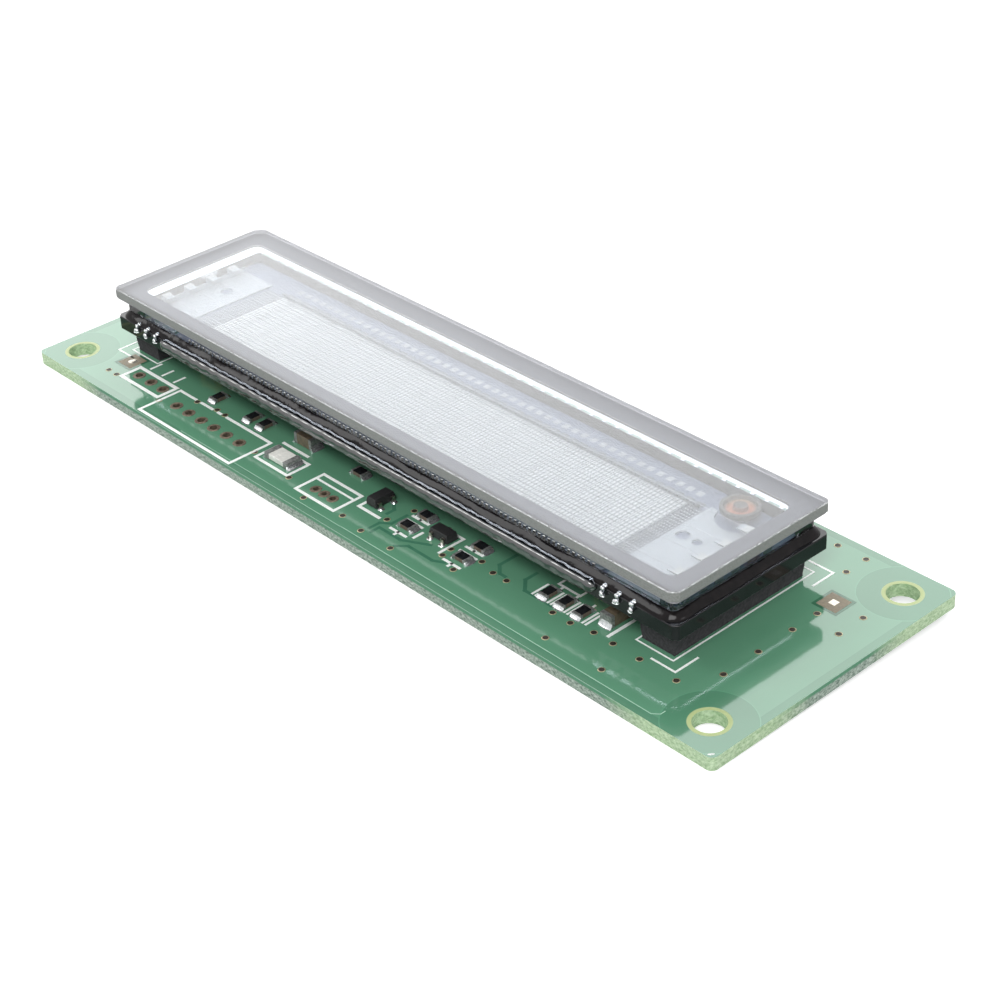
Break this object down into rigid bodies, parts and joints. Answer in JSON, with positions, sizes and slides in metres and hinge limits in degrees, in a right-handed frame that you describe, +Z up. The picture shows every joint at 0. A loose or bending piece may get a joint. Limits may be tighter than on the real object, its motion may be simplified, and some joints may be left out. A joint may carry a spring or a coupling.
{
  "type": "vacuum fluorescent display module",
  "caption": "Flat glass vacuum fluorescent display tube held by foam pads and soldered leads on a narrow green driving board with corner mounting holes and plug holes.",
  "frame": {"origin": "centre of the four mounting holes, on the board's underside", "axes": "+X along the board, +Y to the rear edge where the tube's leads are soldered, +Z up through the board to the cover glass"},
  "size_m": [0.116, 0.037, 0.0114],
  "materials": {
    "green_laminate": "glass and epoxy laminate under a glossy green lacquer",
    "tinned_copper": "copper with a bright solder coat",
    "black_foam": "matt closed cell foam",
    "dark_glass": "polished black glass",
    "clear_glass": "clear float glass with ground edges",
    "sealing_glass": "melted dark sealing glass",
    "printed_dots": "printed pale phosphor and ceramic layers",
    "alloy_sheet": "etched thin nickel alloy sheet",
    "lead_alloy": "bright drawn alloy leads with solder on them",
    "hot_wire": "fine coated tungsten wire",
    "flashed_metal": "brown heat tinted steel",
    "black_resin": "glossy black potting resin",
    "white_ceramic": "fired white ceramic",
    "moulded_black": "matt black moulding compound",
    "resistor_ceramic": "white ceramic with a dark glazed film on top",
    "tan_ceramic": "fired tan ceramic",
    "ferrite": "dark grey sintered ferrite",
    "copper_wire": "enamelled copper wire",
    "yellow_moulding": "moulded ochre plastic"
  },
  "bodies": {
    "root": {"circuit_board": "green_laminate", "connector_pads": "tinned_copper", "foam_pad_left": "black_foam", "foam_pad_right": "black_foam", "base_glass": "dark_glass", "exhaust_lid": "clear_glass", "tube_wall_front": "clear_glass", "tube_wall_rear": "clear_glass", "tube_wall_left": "clear_glass", "tube_wall_right": "clear_glass", "lower_frit": "sealing_glass", "upper_frit": "sealing_glass", "cover_glass": "clear_glass", "anode_layer": "printed_dots", "control_grids": "alloy_sheet", "front_grid_flange": "alloy_sheet", "rear_grid_flange": "alloy_sheet", "filament_support_left": "alloy_sheet", "filament_support_right": "alloy_sheet", "filaments": "hot_wire", "getter_ring": "flashed_metal", "getter_stand": "alloy_sheet", "front_lead_clips": "lead_alloy", "rear_lead_pins": "lead_alloy", "resin_bead": "black_resin", "fuse_body": "white_ceramic", "fuse_caps": "tinned_copper", "transistor_bodies": "moulded_black", "transistor_leads": "tinned_copper", "chip_resistors": "resistor_ceramic", "resistor_ends": "tinned_copper", "chip_capacitors": "tan_ceramic", "capacitor_ends": "tinned_copper", "controller_chip": "moulded_black", "controller_leads": "tinned_copper", "driver_chip": "moulded_black", "driver_leads": "tinned_copper", "transformer_core": "ferrite", "transformer_coil": "copper_wire", "reservoir_capacitors": "yellow_moulding", "reservoir_tabs": "tinned_copper", "ceramic_resonator": "tan_ceramic", "resonator_bands": "tinned_copper"}
  },
  "joints": []
}
